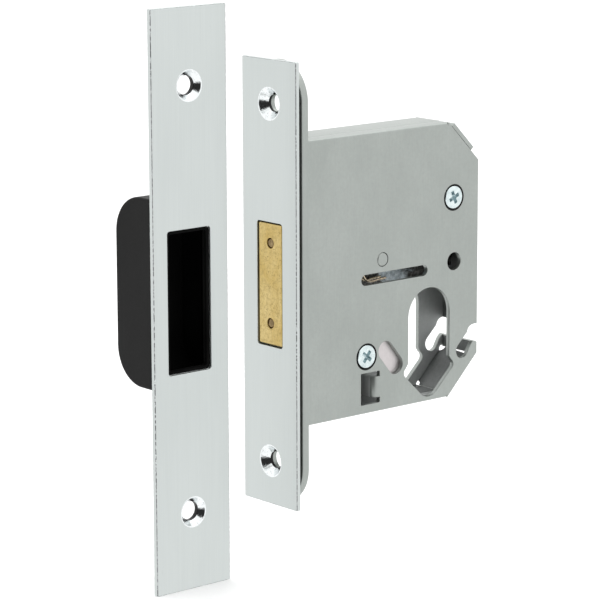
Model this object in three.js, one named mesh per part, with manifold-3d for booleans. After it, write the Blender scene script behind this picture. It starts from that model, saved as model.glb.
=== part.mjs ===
// Mortice deadlock for a profile cylinder, with its strike plate and dust box.
// Millimetres. The origin is the middle of the faceplate's front face: +Y goes into the door,
// +Z is up the faceplate and +X is the side that carries the case cover.
import * as THREE from 'three';
import { mergeVertices } from 'three/addons/utils/BufferGeometryUtils.js';
import Module from 'manifold-3d';

const wasm = await Module();
wasm.setup();

// ---------------------------------------------------------------- driving dimensions
const GAP = 0.12;                       // running gap between neighbours that never touch hard
const FIT = 0.3;                        // clearance round a piece that moves

const FACE = { width: 24, height: 132, thick: 1.3 };
const FOREND = { width: 23.6, height: 131.4, front: 2.45, back: 4.95 };
const SCREW_HOLE = { z: 53, rim: 4.65, through: 2.45, wall: 0.75 };
const MOUTH = { width: 11.3, height: 36.9, corner: 0.9 };

const CASE = { half: 7.65, sheet: 1.5, front: 5.05, rear: 76.6, top: 42.4 };
const INNER = CASE.half - CASE.sheet;   // half the clear width inside the case
const SEAM = 3.0;                       // where the cover's lip meets the body's flange
const CHAMFER = { top: 12.5, bottom: 12.2, lap: 1.45 };
const RELIEF = { radius: 1.3, deep: 1.2 };  // holes punched where three faces of the case meet
const LUG = { z: 30, half: 4 };         // tenons that key the case into the inner forend

const CYLINDER = { y: 56.5, z: -15.7, radius: 8.5, neck: -29.6, ear: 1.7, toe: 4.8, toeZ: -36.2 };
const UPPER_SCREW = { y: 66.6, z: 19.3 };
const LOWER_SCREW = { y: 31.3, z: -24.9 };
const GUIDE = { y: 37.5, z: 3.8, radius: 2.05, shoulder: 3.5 };
const PILLAR = { radius: 3.5, bore: 2.05, foot: 2.2 };
const SCREW = { head: 3.55, shank: 1.9, recess: 4.1 };

const THROW = 17;                       // how far the bolt travels out of the faceplate
const BOLT = { half: 5.3, height: 36, front: 0.25, rear: 27.5 };
const HARD_PIN = { radius: 1.35, upper: 12.2, lower: -11.6, front: 0.5, rear: 16.4 };
const RIVET = { radius: 1.6, y: 22.4, z: 7 };
const TAIL = { x0: -3.5, x1: -0.5, front: 17.5, rear: 73, low: -3.5, high: 13.6 };
const TALON = { front: 60.4, rear: 69.4, top: 1 };
const STUMP = { y: 58, z: 14.5, radius: 1.75 };

const LEVER_DROP = 6.7 * Math.PI / 180; // angle from lifted to dropped
const LEVER = { thick: 1.8, ring: 6, belly: -0.3, under: 10, over: 22.3, nose: 33 };
const LEVER_X = [0.2, 2.6];             // near face toward the tail of each lever

const STRIKE = { face: 3.5, thick: 1.45, width: 26.8, height: 168.4, y: -31.9, z: -0.6 };
const STRIKE_HOLE = { z: 61.65, mid: -0.3, rim: 4.35, through: 2.75 };
const KEEP = { width: 15.5, height: 41.6, y: -32.5, z: 0, corner: 0.9 };
const BOX = { deep: 18, width: 24, height: 55, z: 2.5, wall: 1.6, corner: 11, collar: 0.9 };

// ---------------------------------------------------------------- solids and placing
function solid(geometry) {
  geometry.deleteAttribute('normal');
  geometry.deleteAttribute('uv');
  const merged = mergeVertices(geometry, 1e-4);
  return new wasm.Manifold(new wasm.Mesh({
    numProp: 3,
    vertProperties: new Float32Array(merged.attributes.position.array),
    triVerts: new Uint32Array(merged.index.array),
  }));
}

function piece(name, body, finish) {
  const mesh = body.getMesh();
  const geometry = new THREE.BufferGeometry();
  geometry.setAttribute('position', new THREE.BufferAttribute(mesh.vertProperties, 3));
  geometry.setIndex(new THREE.BufferAttribute(mesh.triVerts, 1));
  geometry.computeVertexNormals();
  const result = new THREE.Mesh(geometry, new THREE.MeshStandardMaterial(finish));
  result.name = name;
  return result;
}

// Closed outline through points, each [a, b].
function outline(points) {
  return new THREE.Shape(points.map(([a, b]) => new THREE.Vector2(a, b)));
}

function disc(a, b, radius) {
  return new THREE.Shape().absarc(a, b, radius, 0, Math.PI * 2);
}

function roundedRect(a, b, width, height, corner) {
  const [w, h, quarter] = [width / 2 - corner, height / 2 - corner, Math.PI / 2];
  const shape = new THREE.Shape();
  shape.absarc(a + w, b + h, corner, 0, quarter);
  shape.absarc(a - w, b + h, corner, quarter, quarter * 2);
  shape.absarc(a - w, b - h, corner, quarter * 2, quarter * 3);
  shape.absarc(a + w, b - h, corner, quarter * 3, quarter * 4);
  return shape;
}

// Straight slot with round ends between two points.
function obround(from, to, radius) {
  const along = Math.atan2(to[1] - from[1], to[0] - from[0]);
  const shape = new THREE.Shape();
  shape.absarc(to[0], to[1], radius, along - Math.PI / 2, along + Math.PI / 2);
  shape.absarc(from[0], from[1], radius, along + Math.PI / 2, along + Math.PI * 1.5);
  return shape;
}

const ALONG_X = new THREE.Matrix4().makeBasis(
  new THREE.Vector3(0, 1, 0), new THREE.Vector3(0, 0, 1), new THREE.Vector3(1, 0, 0));
const ALONG_Y = new THREE.Matrix4().makeBasis(
  new THREE.Vector3(1, 0, 0), new THREE.Vector3(0, 0, 1), new THREE.Vector3(0, -1, 0));

function extrude(shape, depth, facets) {
  return new THREE.ExtrudeGeometry(shape, { depth, bevelEnabled: false, curveSegments: facets });
}

// A (y, z) outline standing from x0 to x1.
function acrossX(shape, x0, x1, facets = 10) {
  return solid(extrude(shape, x1 - x0, facets).applyMatrix4(ALONG_X).translate(x0, 0, 0));
}

// An (x, z) outline standing from y0 to y1.
function acrossY(shape, y0, y1, facets = 10) {
  return solid(extrude(shape, y1 - y0, facets).applyMatrix4(ALONG_Y).translate(0, y1, 0));
}

// An (x, y) outline standing from z0 to z1.
function acrossZ(shape, z0, z1) {
  return solid(extrude(shape, z1 - z0, 10).translate(0, 0, z0));
}

function block(x0, x1, y0, y1, z0, z1) {
  const box = new THREE.BoxGeometry(x1 - x0, y1 - y0, z1 - z0);
  return solid(box.translate((x0 + x1) / 2, (y0 + y1) / 2, (z0 + z1) / 2));
}

// Turned part: profile is [radius, station] from one end of the axis to the other.
function lathe(profile) {
  return new THREE.LatheGeometry(profile.map(([r, s]) => new THREE.Vector2(r, s)), 28);
}

function turnedX(profile, y, z) {
  return solid(lathe(profile).rotateZ(-Math.PI / 2).translate(0, y, z));
}

// Stations here are depths behind the surface: they grow toward +Y.
function turnedY(profile, x, z) {
  return solid(lathe(profile).translate(x, 0, z));
}

function rod(radius, x0, x1, y, z) {
  return turnedX([[0, x0], [radius, x0], [radius, x1], [0, x1]], y, z);
}

function joined(bodies) {
  return bodies.reduce((sum, body) => sum.add(body));
}

function cut(body, tools) {
  return tools.reduce((rest, tool) => rest.subtract(tool), body);
}

// ---------------------------------------------------------------- finishes
const CHROME = { color: 0xd2d7d9, roughness: 0.28, metalness: 0.9 };
const SATIN_STEEL = { color: 0xb3b9b6, roughness: 0.42, metalness: 0.85 };
const BRASS = { color: 0xc9a35a, roughness: 0.34, metalness: 0.95 };
const ZINC = { color: 0xdfe7ea, roughness: 0.3, metalness: 0.9 };
const HARD_STEEL = { color: 0x6f675c, roughness: 0.45, metalness: 0.85 };
const SPRING_WIRE = { color: 0xb98d4a, roughness: 0.35, metalness: 0.9 };
const BLACK_PLASTIC = { color: 0x26282a, roughness: 0.55, metalness: 0 };

// ---------------------------------------------------------------- forend
// Countersink pressed through a thin plate: the cone carries on into a short collar.
const dimple = { depth: 2.5, collar: 3.1 };

function dimpleOuter(rim, through, sheet) {
  return [[0, sheet - 0.4], [rim, sheet - 0.4], [rim, sheet],
    [through + SCREW_HOLE.wall, dimple.depth + 0.2], [through + SCREW_HOLE.wall, dimple.collar],
    [0, dimple.collar]];
}

function dimpleInner(rim, through) {
  return [[0, -0.5], [rim + 0.5, -0.5], [through, rim - through], [through, dimple.collar + 0.5],
    [0, dimple.collar + 0.5]];
}

function faceplate() {
  const { width, height, thick } = FACE;
  let plate = block(-width / 2, width / 2, 0, thick, -height / 2, height / 2);
  for (const z of [SCREW_HOLE.z, -SCREW_HOLE.z]) {
    plate = plate.add(turnedY(dimpleOuter(SCREW_HOLE.rim, SCREW_HOLE.through, thick), 0, z));
    plate = plate.subtract(turnedY(dimpleInner(SCREW_HOLE.rim, SCREW_HOLE.through), 0, z));
  }
  const mouth = roundedRect(0, 0, MOUTH.width, MOUTH.height, MOUTH.corner);
  return piece('faceplate', plate.subtract(acrossY(mouth, -1, thick + 1, 3)), CHROME);
}

function innerForend() {
  const { width, height, front, back } = FOREND;
  const end = height / 2 - width / 2;
  const plate = acrossY(obround([0, -end], [0, end], width / 2), front, back, 24);
  const mouth = roundedRect(0, 0, MOUTH.width + 0.4, MOUTH.height + 0.4, MOUTH.corner);
  const tools = [acrossY(mouth, front - 1, back + 1, 3)];
  const nest = [[0, front - 1], [SCREW_HOLE.rim + 1, front - 1], [SCREW_HOLE.rim + 0.1, front],
    [SCREW_HOLE.through + SCREW_HOLE.wall + FIT, dimple.depth + 1.1],
    [SCREW_HOLE.through + SCREW_HOLE.wall + FIT, back + 1], [0, back + 1]];
  for (const side of [-1, 1]) {
    tools.push(turnedY(nest, 0, side * SCREW_HOLE.z));
    for (const x of [-CASE.half - GAP, INNER - GAP]) {
      const z = side * LUG.z;
      const slot = CASE.sheet + 2 * GAP;
      const reach = LUG.half + GAP;
      tools.push(block(x, x + slot, front - 1, back + 1, z - reach, z + reach));
    }
  }
  return piece('inner_forend', cut(plate, tools), SATIN_STEEL);
}

// ---------------------------------------------------------------- openings in both case walls
function cylinderHole() {
  const { y, z, radius, neck, ear, toe, toeZ } = CYLINDER;
  const earZ = neck - 2.7;
  const half = radius + 0.05;
  const shape = new THREE.Shape();
  shape.absarc(y, z, radius, 0, Math.PI);
  shape.lineTo(y - half, neck);
  shape.absarc(y - half, earZ, ear, Math.PI * 0.68, Math.PI * 1.28);
  shape.absarc(y, toeZ, toe, Math.PI * 1.22, Math.PI * 1.78);
  shape.absarc(y + half, earZ, ear, Math.PI * 1.72, Math.PI * 2.32);
  shape.lineTo(y + half, neck);
  return shape;
}

// Hook-shaped notch in the rear edge, with a slanted slot at its foot.
const NOTCH = { top: -21, lip: -26.6, slot: [70.4, -28.6], radius: 2.5 };

function rearNotch() {
  const beyond = CASE.rear + 4;
  const [y, z] = NOTCH.slot;
  const shape = new THREE.Shape();
  shape.moveTo(beyond, NOTCH.top);
  shape.lineTo(75.3, NOTCH.top);
  shape.quadraticCurveTo(72.9, NOTCH.top - 0.1, 72.5, -23.2);
  shape.lineTo(y - NOTCH.radius * Math.SQRT1_2, z + NOTCH.radius * Math.SQRT1_2);
  shape.absarc(y, z, NOTCH.radius, Math.PI * 0.75, Math.PI * 1.9);
  shape.lineTo(73.4, -28.3);
  shape.quadraticCurveTo(74.2, -26.9, 75.2, NOTCH.lip + 0.25);
  shape.quadraticCurveTo(76.2, NOTCH.lip + 0.2, CASE.rear + 0.2, NOTCH.lip - 0.3);
  shape.lineTo(beyond, NOTCH.lip - 0.3);
  return shape;
}

// ---------------------------------------------------------------- case body
function flange(a, b, thick, x0, x1) {
  const length = Math.hypot(b[0] - a[0], b[1] - a[1]);
  const across = [-(b[1] - a[1]) / length * thick, (b[0] - a[0]) / length * thick];
  const inner = [[b[0] + across[0], b[1] + across[1]], [a[0] + across[0], a[1] + across[1]]];
  return acrossX(outline([a, b, ...inner]), x0, x1);
}

function caseBody() {
  const { half, sheet, front, rear, top } = CASE;
  const upper = rear - CHAMFER.top + CHAMFER.lap * Math.SQRT2;
  const upperZ = top - CHAMFER.top + CHAMFER.lap * Math.SQRT2;
  const lower = rear - CHAMFER.bottom;
  const lowerZ = -top + CHAMFER.bottom;
  const wall = acrossX(outline([[front, -top], [lower, -top], [rear, lowerZ], [rear, upperZ],
    [upper, top], [front, top]]), -half, -INNER);
  const reach = INNER - 0.2;
  const lapThick = CHAMFER.lap - GAP;
  const parts = [
    wall,
    block(-half, SEAM - GAP / 2, front, upper - 1.4, top - sheet, top),
    block(-half, SEAM - GAP / 2, front, lower - 0.2, -top, -top + sheet),
    flange([rear - 2, upperZ + 2], [upper + 0.4, top - 0.4], lapThick, -half, half - GAP),
    block(-half, reach, rear - sheet, rear, NOTCH.top - 0.3, upperZ - 1.6),
    block(-half, reach, rear - sheet, rear, lowerZ - 0.1, NOTCH.lip),
    flange([lower + 1, -top + 1], [rear - 1.4, lowerZ - 1.4], sheet, -half, reach),
  ];
  for (const z of [-LUG.z, LUG.z]) {
    parts.push(block(-half, -INNER, FOREND.front, front + 1, z - LUG.half, z + LUG.half));
  }
  const reliefs = [[rear - 1.5, lowerZ - 0.8], [lower + 1, -top + 1.4], [rear, upperZ],
    [upper, top]];
  const tools = [
    acrossX(cylinderHole(), -half - 1, -INNER + 1),
    acrossX(rearNotch(), -half - 1, -INNER + 1),
    block(-half - 1, half, rear - sheet - 0.1, rear + 1, NOTCH.lip, NOTCH.top),
    ...reliefs.map(([y, z]) => rod(RELIEF.radius, -half - 1, -INNER + RELIEF.deep, y, z)),
    ...[UPPER_SCREW, LOWER_SCREW].map(({ y, z }) => rod(PILLAR.foot + GAP, -half - 1, 0, y, z)),
    rod(GUIDE.radius + GAP, -half - 1, 0, GUIDE.y, GUIDE.z),
  ];
  return piece('case_body', cut(joined(parts), tools), SATIN_STEEL);
}

// ---------------------------------------------------------------- case cover
const LONG_SLOT = { from: [30.7, -1.65], to: [54.05, -1.65], radius: 1.65 };
const SIDE_SLOT = { from: [38.8, -24.1], to: [42.8, -29], radius: 2.9 };
const WINDOW = { y0: 28.9, root: 36.4, z0: -39.6, z1: -29.9, slit: 1.65 };
const TONGUE = { bend: 2.5, end: 1.6 };
const PLAIN_HOLE = { y: 66.7, z: -0.4, radius: 2.75 };

// Tongue cut free on three sides and bent square inward from the window's rear edge.
function lancedTongue() {
  const centre = CASE.half - TONGUE.bend;
  const { root, slit } = WINDOW;
  const inner = TONGUE.bend - CASE.sheet;
  const shape = new THREE.Shape();
  shape.moveTo(CASE.half, root + 0.3);
  shape.absarc(centre, root, TONGUE.bend, 0, -Math.PI / 2, true);
  shape.lineTo(TONGUE.end, root - TONGUE.bend);
  shape.lineTo(TONGUE.end, root - inner);
  shape.absarc(centre, root, inner, -Math.PI / 2, 0, false);
  shape.lineTo(INNER, root + 0.3);
  return acrossZ(shape, WINDOW.z0 + slit, WINDOW.z1 - slit);
}

function caseCover() {
  const { half, sheet, front, rear, top } = CASE;
  const wall = acrossX(outline([[front, -top], [rear - CHAMFER.bottom, -top],
    [rear, -top + CHAMFER.bottom], [rear, top - CHAMFER.top], [rear - CHAMFER.top, top],
    [front, top]]), INNER, half);
  const lipEnd = rear - CHAMFER.top - 0.2;
  const seam = SEAM + GAP / 2;
  const parts = [
    wall,
    block(seam, INNER + 0.5, front, lipEnd, top - sheet, top),
    block(seam, INNER + 0.5, front, lipEnd, -top, -top + sheet),
    ...[-LUG.z, LUG.z].map((z) =>
      block(INNER, half, FOREND.front, front + 1, z - LUG.half, z + LUG.half)),
  ];
  const seat = [[0, INNER - 1], [SCREW.recess - 1.5, INNER - 1], [SCREW.recess - 1.5, INNER],
    [SCREW.recess + 1, half + 1], [0, half + 1]];
  const through = (shape) => acrossX(shape, INNER - 1, half + 1);
  const tools = [
    through(cylinderHole()),
    through(rearNotch()),
    through(obround(LONG_SLOT.from, LONG_SLOT.to, LONG_SLOT.radius)),
    through(obround(SIDE_SLOT.from, SIDE_SLOT.to, SIDE_SLOT.radius)),
    through(disc(PLAIN_HOLE.y, PLAIN_HOLE.z, PLAIN_HOLE.radius)),
    through(disc(GUIDE.y, GUIDE.z, GUIDE.radius + GAP)),
    block(INNER - 1, half + 1, WINDOW.y0, WINDOW.root, WINDOW.z0, WINDOW.z1),
    ...[UPPER_SCREW, LOWER_SCREW].map(({ y, z }) => turnedX(seat, y, z)),
  ];
  return piece('case_cover', cut(joined(parts), tools).add(lancedTongue()), SATIN_STEEL);
}

// ---------------------------------------------------------------- screws, pillars, posts
function coverScrew(name, place) {
  const { half } = CASE;
  const profile = [[0, -1], [SCREW.shank - 0.4, -1], [SCREW.shank, -0.5],
    [SCREW.shank, INNER - 0.1], [SCREW.head - 0.1, half - 0.2], [SCREW.head, half - 0.05],
    [0, half - 0.05]];
  const arm = 1.9;
  const slit = 0.45;
  const floor = half - 1.1;
  const { y, z } = place;
  const cross = [
    block(floor, half + 1, y - arm, y + arm, z - slit, z + slit),
    block(floor, half + 1, y - slit, y + slit, z - arm, z + arm),
  ];
  return piece(name, cut(turnedX(profile, y, z), cross), ZINC);
}

// Pillar riveted into the far wall and tapped for a cover screw.
function pillar(name, place, shoulder) {
  const top = INNER - GAP;
  const profile = [[0, -CASE.half], [PILLAR.foot, -CASE.half], [PILLAR.foot, -INNER + GAP / 2]];
  if (shoulder) {
    profile.push([shoulder, -INNER + GAP / 2], [shoulder, 4.85], [PILLAR.radius, 4.85]);
  } else {
    profile.push([PILLAR.radius, -INNER + GAP / 2]);
  }
  profile.push([PILLAR.radius, top], [PILLAR.bore, top], [PILLAR.bore, -2], [0, -2]);
  return piece(name, turnedX(profile, place.y, place.z), ZINC);
}

function guidePost() {
  const { y, z, radius, shoulder } = GUIDE;
  const seat = TAIL.x0 - 0.2;
  const profile = [[0, -CASE.half], [radius, -CASE.half], [radius, -INNER + GAP / 2],
    [shoulder, -INNER + GAP / 2], [shoulder, seat], [radius, seat],
    [radius, CASE.half - 0.1], [radius - 0.3, CASE.half + 0.1], [0, CASE.half + 0.1]];
  return piece('bolt_guide_post', turnedX(profile, y, z), ZINC);
}

// Distance washer threaded on the upper pillar.
function spacer(name, x0, x1) {
  const { y, z } = UPPER_SCREW;
  const ring = rod(4.6, x0, x1, y, z).subtract(rod(PILLAR.radius + GAP, x0 - 1, x1 + 1, y, z));
  return piece(name, ring, ZINC);
}

// Hardened plate clamped under the cover by the lower pillar.
function hardPlate() {
  const shape = outline([[26.6, -29.4], [26.6, -21.5], [29, -19.6], [45.6, -19.6], [46.3, -20.4],
    [46.3, -33], [37.7, -33], [37.7, -30.8], [36.2, -29.4]]);
  const { y, z } = LOWER_SCREW;
  const plate = acrossX(shape, 5, INNER - GAP);
  return piece('hard_plate', plate.subtract(rod(PILLAR.radius + GAP, 4, 7, y, z)), SATIN_STEEL);
}

// ---------------------------------------------------------------- bolt
function boltHead() {
  const { half, height, front, rear } = BOLT;
  const body = block(-half, half, front, rear, -height / 2, height / 2);
  const bore = (z) => turnedY([[0, front - 1], [HARD_PIN.radius + 0.1, front - 1],
    [HARD_PIN.radius + 0.1, HARD_PIN.rear + 0.2], [0, HARD_PIN.rear + 0.2]], 0, z);
  const tools = [
    bore(HARD_PIN.upper),
    bore(HARD_PIN.lower),
    block(TAIL.x0 - GAP, TAIL.x1 + GAP, TAIL.front - 0.3, rear + 1, -11.3, TAIL.high + 0.3),
    rod(RIVET.radius + 0.1, -half - 1, half + 1, RIVET.y, RIVET.z),
    rod(RIVET.radius + 0.1, -half - 1, half + 1, RIVET.y, -RIVET.z),
  ];
  return piece('bolt_head', cut(body, tools), BRASS);
}

function hardPin(name, z) {
  const { radius, front, rear } = HARD_PIN;
  const profile = [[0, front], [radius - 0.25, front], [radius, front + 0.25], [radius, rear],
    [0, rear]];
  return piece(name, turnedY(profile, 0, z), HARD_STEEL);
}

function boltTail() {
  const { x0, x1, front, rear, low, high } = TAIL;
  const shape = outline([[front, -11], [29.6, -11], [31.6, low], [47, low], [48.5, 0.8],
    [56, 0.8], [57, low], [TALON.front, low], [TALON.front, TALON.top], [TALON.rear, TALON.top],
    [TALON.rear, low], [rear, low], [rear, high - 1.5], [rear - 1.5, high], [61.4, high],
    [60.6, 17], [55.4, 17], [53.8, high], [front, high]]);
  const slot = obround([GUIDE.y, GUIDE.z], [GUIDE.y + THROW, GUIDE.z], GUIDE.radius + FIT);
  const tools = [
    acrossX(slot, x0 - 1, x1 + 1, 8),
    rod(RIVET.radius + 0.1, x0 - 1, x1 + 1, RIVET.y, RIVET.z),
    rod(RIVET.radius + 0.1, x0 - 1, x1 + 1, RIVET.y, -RIVET.z),
    rod(STUMP.radius + 0.1, x0 - 1, x1 + 1, STUMP.y, STUMP.z),
  ];
  return piece('bolt_tail', cut(acrossX(shape, x0, x1), tools), ZINC);
}

function boltRivet(name, z) {
  return piece(name, rod(RIVET.radius, -BOLT.half, BOLT.half, RIVET.y, z), HARD_STEEL);
}

function boltStump() {
  return piece('bolt_stump', rod(STUMP.radius, TAIL.x0 - 0.4, 4.7, STUMP.y, STUMP.z), HARD_STEEL);
}

// ---------------------------------------------------------------- detainer levers
// Where the stump lies in the lever once the lever has dropped by an angle.
function stumpInLever(stump, angle) {
  const [dy, dz] = [stump[0] - UPPER_SCREW.y, stump[1] - UPPER_SCREW.z];
  const [c, s] = [Math.cos(angle), Math.sin(angle)];
  return [UPPER_SCREW.y + dy * c + dz * s, UPPER_SCREW.z - dy * s + dz * c];
}

function lever(name, x0) {
  const x1 = x0 + LEVER.thick;
  const { y, z } = UPPER_SCREW;
  const arm = outline([[LEVER.nose, LEVER.under], [47.5, LEVER.under], [50.5, LEVER.belly + 0.8],
    [51.5, LEVER.belly], [60.4, LEVER.belly], [61.6, LEVER.belly + 0.9], [65.5, z - 5.8],
    [65, z + 5.6], [58, LEVER.over], [36.4, LEVER.over], [36.4, 15.3], [LEVER.nose, 15.3]]);
  const plate = acrossX(arm, x0, x1).add(rod(LEVER.ring, x0, x1, y, z));
  const room = STUMP.radius + FIT;
  const rest = [STUMP.y, STUMP.z];
  const thrown = [STUMP.y - THROW, STUMP.z];
  const tools = [
    rod(PILLAR.radius + GAP, x0 - 1, x1 + 1, y, z),
    acrossX(obround(thrown, rest, room), x0 - 1, x1 + 1, 8),
  ];
  for (const end of [rest, thrown]) {
    const pocket = obround(end, stumpInLever(end, LEVER_DROP), room);
    tools.push(acrossX(pocket, x0 - 1, x1 + 1, 8));
  }
  return piece(name, cut(plate, tools), ZINC);
}

// Bent wire: it presses on the lever's nose, and its other leg lies along the long slot.
function leverSpring(name, x) {
  const wire = 0.35;
  const route = [[35.7, 16], [33.4, 16.1], [31, 15.2], [29.7, 12], [29.3, 7], [29.9, 3],
    [31.4, 0.6], [33.2, -1], [34.4, -2.6], [36.6, -3.3], [39, -3.05], [41, -2.95], [42.3, -2.9]];
  const path = new THREE.CatmullRomCurve3(route.map(([y, z]) => new THREE.Vector3(x, y, z)));
  const section = new THREE.Shape().absarc(0, 0, wire, 0, Math.PI * 2);
  const geometry = new THREE.ExtrudeGeometry(section,
    { steps: 36, curveSegments: 3, extrudePath: path, bevelEnabled: false });
  return piece(name, solid(geometry), SPRING_WIRE);
}

// ---------------------------------------------------------------- strike and dust box
function strikePlate() {
  const { face, thick, width, height, y, z } = STRIKE;
  const back = face - thick;
  let plate = block(back, face, y - width / 2, y + width / 2, z - height / 2, z + height / 2);
  const toFace = (profile) => profile.map(([r, depth]) => [r, face - depth]).reverse();
  for (const side of [-1, 1]) {
    const centre = STRIKE_HOLE.mid + side * STRIKE_HOLE.z;
    const outer = toFace(dimpleOuter(STRIKE_HOLE.rim, STRIKE_HOLE.through, thick));
    plate = plate.add(turnedX(outer, y, centre));
    const inner = toFace(dimpleInner(STRIKE_HOLE.rim, STRIKE_HOLE.through));
    plate = plate.subtract(turnedX(inner, y, centre));
  }
  const keep = roundedRect(KEEP.y, KEEP.z, KEEP.width, KEEP.height, KEEP.corner);
  return piece('strike_plate', plate.subtract(acrossX(keep, back - 1, face + 1, 3)), CHROME);
}

// Side profile of the dust box in x and z: square at the plate, well rounded at the back.
function boxProfile(front, back, low, high, corner) {
  const shape = new THREE.Shape();
  shape.moveTo(front, low);
  shape.lineTo(front, high);
  shape.absarc(back + corner, high - corner, corner, Math.PI / 2, Math.PI);
  shape.absarc(back + corner, low + corner, corner, Math.PI, Math.PI * 1.5);
  return shape;
}

function dustBox() {
  const { deep, width, height, z, wall, corner, collar } = BOX;
  const front = STRIKE.face - STRIKE.thick - GAP;
  const back = STRIKE.face - STRIKE.thick - deep;
  const [low, high] = [z - height / 2, z + height / 2];
  const [y0, y1] = [STRIKE.y - width / 2, STRIKE.y + width / 2];
  const outside = acrossY(boxProfile(front, back, low, high, corner), y0, y1);
  const inside = acrossY(
    boxProfile(front - wall, back + wall, low + wall, high - wall, corner - wall),
    y0 + wall, y1 - wall);
  const rim = roundedRect(KEEP.y, KEEP.z, KEEP.width - 0.3, KEEP.height - 0.3, KEEP.corner);
  const mouth = roundedRect(KEEP.y, KEEP.z, KEEP.width - 2.1, KEEP.height - 2.1, KEEP.corner);
  const shell = outside.subtract(inside).add(acrossX(rim, front - 1, front + collar, 3));
  const open = shell.subtract(acrossX(mouth, front - wall - 1, front + collar + 1, 3));
  return piece('dust_box', open, BLACK_PLASTIC);
}

// ---------------------------------------------------------------- assembly
const [NEAR_1, NEAR_2] = LEVER_X;
const lock = new THREE.Group();
lock.add(
  faceplate(),
  innerForend(),
  caseBody(),
  caseCover(),
  coverScrew('cover_screw_upper', UPPER_SCREW),
  coverScrew('cover_screw_lower', LOWER_SCREW),
  pillar('screw_pillar_upper', UPPER_SCREW, 0),
  pillar('screw_pillar_lower', LOWER_SCREW, 4.4),
  guidePost(),
  spacer('lever_spacer_far', -INNER + GAP, NEAR_1 - GAP),
  spacer('lever_spacer_middle', NEAR_1 + LEVER.thick + GAP, NEAR_2 - GAP),
  spacer('lever_spacer_near', NEAR_2 + LEVER.thick + GAP, INNER - GAP),
  hardPlate(),
  leverSpring('lever_spring_1', NEAR_1 + LEVER.thick / 2),
  leverSpring('lever_spring_2', NEAR_2 + LEVER.thick / 2),
  lever('detainer_lever_1', NEAR_1),
  lever('detainer_lever_2', NEAR_2),
  boltHead(),
  hardPin('bolt_hard_pin_upper', HARD_PIN.upper),
  hardPin('bolt_hard_pin_lower', HARD_PIN.lower),
  boltTail(),
  boltRivet('bolt_rivet_upper', RIVET.z),
  boltRivet('bolt_rivet_lower', -RIVET.z),
  boltStump(),
  strikePlate(),
  dustBox(),
);

export default lock;
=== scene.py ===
"""Looks for a mortice deadlock with its strike plate and dust box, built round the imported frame.

Sizes below are millimetres in the frame's own axes: -Y is the faceplate's front, +Y goes into the
door, +Z is up and +X is the side with the case cover. Blender's own units are metres.
"""
import math

import bpy
from mathutils import Matrix, Vector
from mathutils.geometry import tessellate_polygon


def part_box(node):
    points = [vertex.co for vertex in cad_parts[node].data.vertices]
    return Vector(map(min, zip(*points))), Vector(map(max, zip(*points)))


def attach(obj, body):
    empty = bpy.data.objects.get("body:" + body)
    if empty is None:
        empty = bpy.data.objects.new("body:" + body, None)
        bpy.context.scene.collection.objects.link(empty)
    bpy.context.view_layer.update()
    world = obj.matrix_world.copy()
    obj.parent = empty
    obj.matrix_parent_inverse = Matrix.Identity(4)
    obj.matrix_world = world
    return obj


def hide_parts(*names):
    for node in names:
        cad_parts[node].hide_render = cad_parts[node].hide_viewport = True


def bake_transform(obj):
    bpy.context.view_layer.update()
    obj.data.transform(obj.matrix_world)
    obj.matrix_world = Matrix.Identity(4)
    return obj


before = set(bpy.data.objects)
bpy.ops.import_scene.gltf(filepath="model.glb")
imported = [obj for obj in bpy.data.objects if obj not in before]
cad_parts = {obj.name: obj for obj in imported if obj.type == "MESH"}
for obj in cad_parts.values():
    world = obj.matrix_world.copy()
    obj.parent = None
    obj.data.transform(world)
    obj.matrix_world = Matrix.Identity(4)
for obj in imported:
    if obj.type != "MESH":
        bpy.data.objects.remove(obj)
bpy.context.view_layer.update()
MM = 0.001


def span(node):
    """Lowest and highest corners of a CAD node, in millimetres."""
    low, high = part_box(node)
    return low / MM, high / MM


# -------- sizes taken from the frame
FACE_LOW, FACE_HIGH = span("faceplate")
FOREND_LOW, FOREND_HIGH = span("inner_forend")
COVER_HIGH = span("case_cover")[1]
BOLT_LOW, BOLT_HIGH = span("bolt_head")
STRIKE_LOW, STRIKE_HIGH = span("strike_plate")
BOX_LOW, BOX_HIGH = span("dust_box")

# -------- sizes of the details
FACE_THICK = 1.3
MOUTH = (11.3, 36.9, 0.9)  # width, height, corner radius of the bolt's opening
SCREW_Z = 53
DIMPLE = {"rim": 4.65, "through": 2.45}
STRIKE_DIMPLE = {"rim": 4.35, "through": 2.75}
DIMPLE_WALL = 0.75
DIMPLE_DEEP = 3.1
DIMPLE_COLLAR = 1.4  # how far a dimple's wall stands behind its plate

HALF = 7.65  # half the case's width
SHEET = 1.5
INNER = HALF - SHEET  # half the clear width inside the case
FRONT = 5.05  # the case's front edge
REAR = COVER_HIGH.y
TOP = COVER_HIGH.z
SEAM = 3.0  # x where the cover's lip meets the body's flange
SEAM_GAP = 0.16
FOLD = 0.85  # outside radius of a folded corner
FOLD_Z, FOLD_REAR = TOP - FOLD, REAR - FOLD  # where walls end and folded corners begin
CHAMFER_TOP = 12.5
CHAMFER_LOW = 12.2
LAP = 1.45  # thickness of the flange across the upper corner
CUT_Y = REAR - CHAMFER_TOP + LAP * math.sqrt(2)  # where that flange cuts the far wall
CUT_Z = TOP - CHAMFER_TOP + LAP * math.sqrt(2)
LIP_GAP = 0.2  # between the end of a lip or flange and what it meets
NOTCH_LOW, NOTCH_HIGH = -26.6, -21  # z of the rear flanges' ends beside the rear notch
RELIEF = 1.3  # radius of the holes punched where three faces meet
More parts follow.
